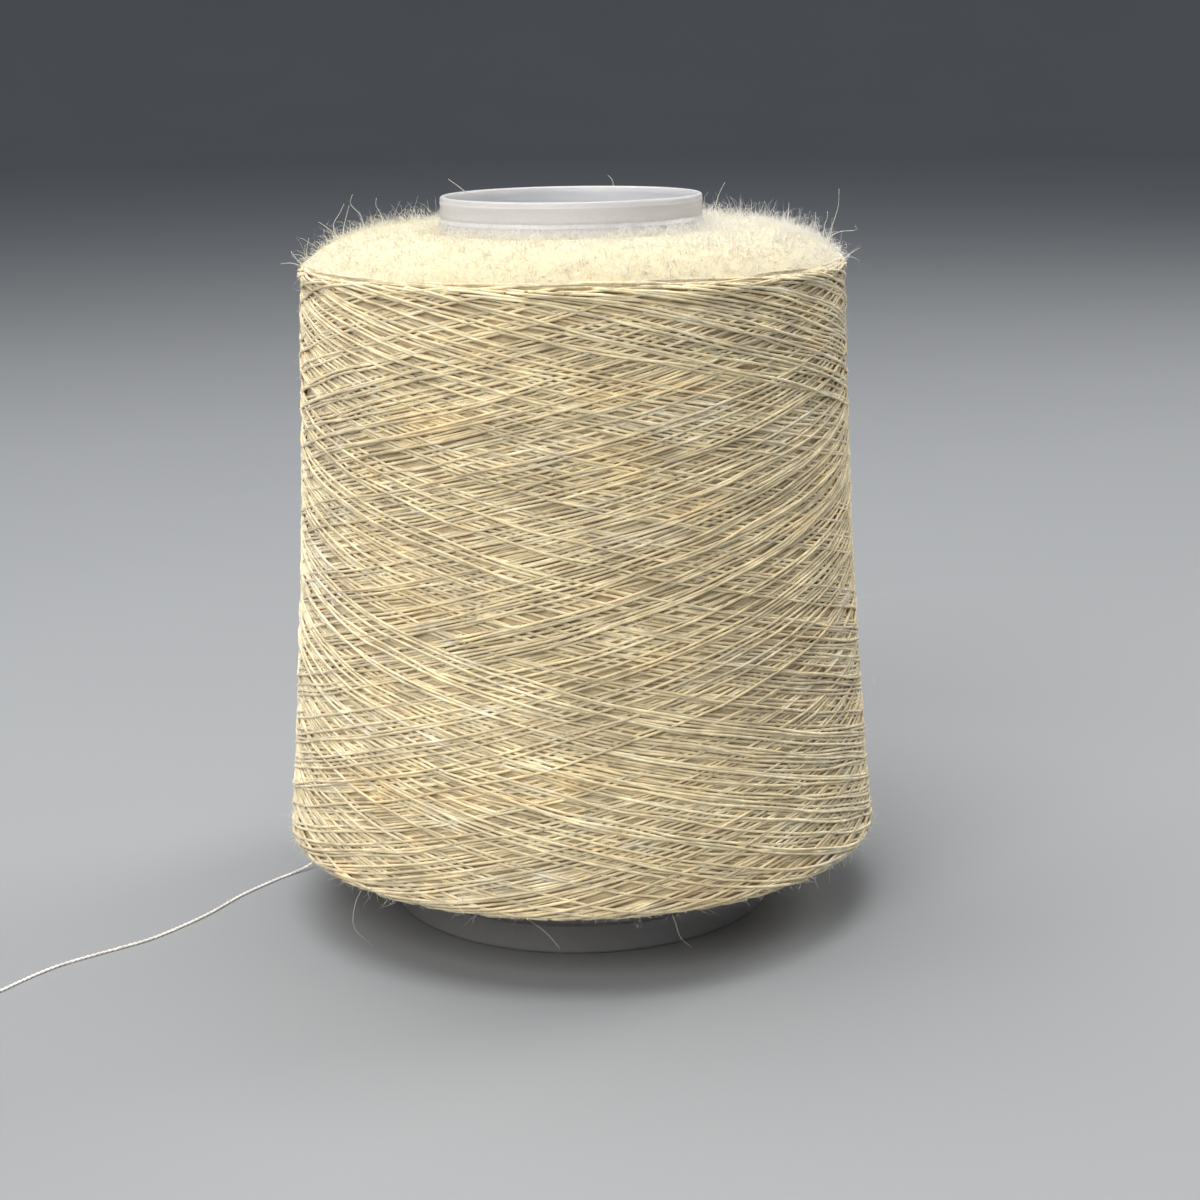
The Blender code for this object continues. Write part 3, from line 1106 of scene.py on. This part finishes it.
def buildSideFuzz(name, setup, relief, finish):
    draw = np.random.default_rng(setup["seed"])
    count = setup["count"]
    height = draw.uniform(*setup["heights"], count)
    turn = draw.uniform(0.0, fullTurn, count)
    row = gridRow(sideTurns, height)
    column = (turn / fullTurn * relief.shape[1]).astype(int)
    radius = sideRadius(height) + np.clip(relief[row, column], *sideRooted)
    normals = polar(1.0, turn, np.zeros(count))
    roots = polar(radius, turn, height)
    growHairs(name, setup, draw, roots, normals, draw.uniform(*sideWhite, count), finish)


# the single long hairs that stand out, in mm, each from its root to its tip
strayRoutes = [
    [(-16.0, 9.5, 107.9), (-17.2, 9.5, 108.9), (-18.6, 9.5, 109.9)],
    [(6.6, 18.6, 107.8), (6.5, 18.6, 108.8), (5.8, 18.6, 109.6)],
    [(22.3, 18.4, 103.0), (22.8, 18.4, 105.6), (23.3, 18.4, 106.9), (24.0, 18.4, 108.2)],
    [(-34.8, 2.1, 101.6), (-35.6, 2.1, 102.7), (-36.7, 2.1, 103.7), (-37.6, 2.1, 104.3)],
    [(-35.2, 2.1, 101.4), (-35.4, 2.1, 103.9), (-34.5, 2.1, 105.4), (-33.7, 2.1, 106.9)],
    [(-31.2, 6.5, 102.4), (-31.7, 6.5, 104.8), (-33.2, 6.5, 106.6), (-32.8, 6.5, 108.0)],
    [(-34.2, 3.4, 101.9), (-34.1, 3.4, 103.1), (-33.6, 3.4, 104.9), (-33.1, 3.4, 106.6)],
    [(-28.6, 10.4, 102.6), (-29.0, 10.4, 104.7), (-29.7, 10.4, 106.0), (-29.6, 10.4, 107.2)],
    [(-39.2, -0.9, 98.6), (-39.2, -0.9, 100.4), (-38.8, -0.9, 102.2)],
    [(-40.0, -0.1, 98.0), (-41.7, -0.1, 98.5), (-43.3, -0.1, 98.4)],
    [(-39.9, 0.5, 98.0), (-40.7, 0.5, 98.7), (-41.7, 0.5, 100.2)],
    [(37.0, 0.1, 100.0), (39.5, 0.1, 101.7), (42.3, 0.1, 102.0), (42.1, 0.1, 102.6)],
    [(38.2, -0.2, 99.6), (38.6, -0.2, 102.4), (39.5, -0.2, 105.5), (39.6, -0.2, 108.1)],
    [(35.8, 1.7, 101.0), (36.3, 1.7, 103.2), (36.4, 1.7, 104.6)],
    [(37.3, 0.6, 100.0), (37.6, 0.6, 102.7), (38.0, 0.6, 103.8), (38.0, 0.6, 104.8)],
    [(38.8, -8.5, 97.9), (39.9, -8.5, 99.0), (41.8, -8.5, 100.2)],
    [(32.4, 5.9, 102.2), (32.7, 5.9, 103.8), (32.8, 5.9, 105.8)],
    [(42.0, -4.7, 47.5), (43.6, -4.7, 47.2), (44.8, -4.7, 47.0), (46.7, -4.7, 47.9)],
    [(41.6, -12.2, 32.2), (42.8, -12.2, 32.7), (44.3, -12.2, 34.9), (44.1, -12.2, 36.6)],
    [(-32.0, -30.2, 11.2), (-33.1, -30.2, 8.9), (-33.4, -30.2, 5.2), (-30.8, -30.2, 2.3)],
    [(-8.3, -42.6, 11.4), (-5.5, -43.2, 9.4), (-3.5, -43.2, 6.9), (-3.4, -43.2, 6.2)],
    [(12.2, -41.8, 11.5), (12.9, -42.3, 9.6), (13.5, -42.3, 7.7), (15.1, -42.3, 6.2)],
]
strays = {"points": 12, "radius": 0.047 * mm, "tip": 0.15, "tint": 0.95}


def buildStrays(setup, finish):
    lines = [smoothLine(np.array(route) * mm, setup["points"]) for route in strayRoutes]
    count = len(lines)
    radii = setup["radius"] * np.linspace(1.0, setup["tip"], setup["points"]) ** hair["slim"]
    tints = [setup["tint"]] * count
    addPiece(sweepLines("stray_hairs", lines, [radii] * count, hair["sides"], tints), finish)


# the tube

tube = {
    "wall": 1.4 * mm,
    "bandHeight": 4.2 * mm,  # the foot's thicker band
    "bandStep": 0.35 * mm,
    "bandRunOut": (1.0, 3.0),  # heights of two plain points over the band, in its steps
    "footRound": 0.6 * mm,
    "footRing": 2.4 * mm,
    "lip": 0.8 * mm,  # the wall's thickness at the very top
    "lipTaper": 3.0 * mm,
    "beadHeight": 1.0 * mm,
    "beadStep": 0.17 * mm,
    "beadUnder": 3.5,  # length of the bead's underside, in its steps
    "beadUnderRise": 0.03 * mm,
    # share of the fine ring's rise, and height over the bead's lower edge
    "beadRing": ((1.0, 0.1 * mm), (0.3, 0.25 * mm), (0.0, 0.35 * mm)),
    "grooveBelow": 3.1 * mm,  # from the top to a shallow groove
    "grooveDepth": 0.2 * mm,
    "grooveHalf": 0.4 * mm,
    "ring": 0.06 * mm,  # how far the fine rings under the bead and the groove stand out
    "ringHalf": 0.15 * mm,
    "plainBelow": 0.5 * mm,  # from the middle of the lower ring to the plain wall
    "steps": 144,
    "smoothAngle": 30.0,
}


def arc(middle, radius, start, end, steps):
    turns = [math.radians(start + (end - start) * step / steps) for step in range(steps + 1)]
    return [
        (middle[0] + radius * math.cos(turn), middle[1] + radius * math.sin(turn)) for turn in turns
    ]


def swell(middle, half, rise, steps=6):
    # a soft ring round the tube, or with a negative rise a soft groove, on its outer wall
    shares = [2.0 * step / steps - 1.0 for step in range(steps + 1)]
    return [
        (
            tubeRadius(middle + half * share) + 0.5 * rise * (1.0 + math.cos(math.pi * share)),
            middle + half * share,
        )
        for share in shares
    ]


def tubeOutline(setup):
    top = tubeHigh.z
    foot = form["tubeFoot"] + setup["bandStep"]
    outline = arc((foot - setup["footRound"], setup["footRound"]), setup["footRound"], -90, 0, 6)
    band = setup["bandHeight"]
    outline.append((tubeRadius(band) + setup["bandStep"], band))
    for height in (band + steps * setup["bandStep"] for steps in setup["bandRunOut"]):
        outline.append((tubeRadius(height), height))
    groove = top - setup["grooveBelow"]
    ringHeight = groove - setup["grooveHalf"] - setup["ringHalf"]
    plain = ringHeight - setup["plainBelow"]
    outline.append((tubeRadius(plain), plain))
    outline += swell(ringHeight, setup["ringHalf"], setup["ring"])
    outline += swell(groove, setup["grooveHalf"], -setup["grooveDepth"])[1:]
    bead = form["tubeNose"] + setup["beadStep"]
    beadFoot = top - setup["beadHeight"]
    below = beadFoot - setup["beadUnder"] * setup["beadStep"]
    outline.append((tubeRadius(below), below))
    under = below + setup["beadStep"]
    outline.append((tubeRadius(under) + setup["beadUnderRise"], under))
    outline.append((bead, beadFoot - 0.5 * setup["beadStep"]))
    for share, above in setup["beadRing"]:
        outline.append((bead + share * setup["ring"], beadFoot + above))
    lip = 0.5 * setup["lip"]
    outline += arc((bead - lip, top - lip), lip, 0, 180, 10)
    innerNose = bead - setup["wall"]
    innerFoot = form["tubeFoot"] - setup["wall"]
    slope = (innerFoot - innerNose) / top
    outline.append((innerNose + slope * setup["lipTaper"], top - setup["lipTaper"]))
    shelf = setup["bandHeight"] + setup["footRing"]
    outline.append((innerFoot - slope * shelf, shelf))
    outline.append((foot - setup["footRing"], setup["bandHeight"]))
    outline.append((foot - setup["footRing"], 0.0))
    return outline


def buildTube(setup, finish):
    mesh = spinProfile("tube_moulded", tubeOutline(setup), setup["steps"], setup["smoothAngle"])
    addPiece(mesh, finish, "frosted_plastic", "tube")


# the scene

addCamera(cameraSetup)
addLights(lightSetup, skySetup)

layFloor(floorSetup, floorFinish())
tailYarn = yarnFinish("tailYarn", tail["shade"])
buildTail(tail, tailDown, tailRoute, tailYarn, fuzzFinish("tailFuzz"))

creamYarn = yarnFinish("creamYarn", (0.98, 0.98, 0.985))
relief = buildSide(sideTurns, creamYarn)
buildCore(core, packedFinish("packedYarn"))
# painted shade: the turns at both ends get a darker copy of the cream yarn, to tame the strong
# light on the upper end
buildEnds(ends, yarnFinish("endYarn", (0.92, 0.92, 0.92)))
yarnFuzz = fuzzFinish("yarnFuzz")
buildDomeFuzz(domeFelt, domeDown, collarDown, domeTufts, yarnFuzz)
buildSideFuzz("side_down", sideDown, relief, yarnFuzz)
buildSideFuzz("edge_down", edgeDown, relief, yarnFuzz)
buildStrays(strays, yarnFuzz)
buildTube(tube, plasticFinish())
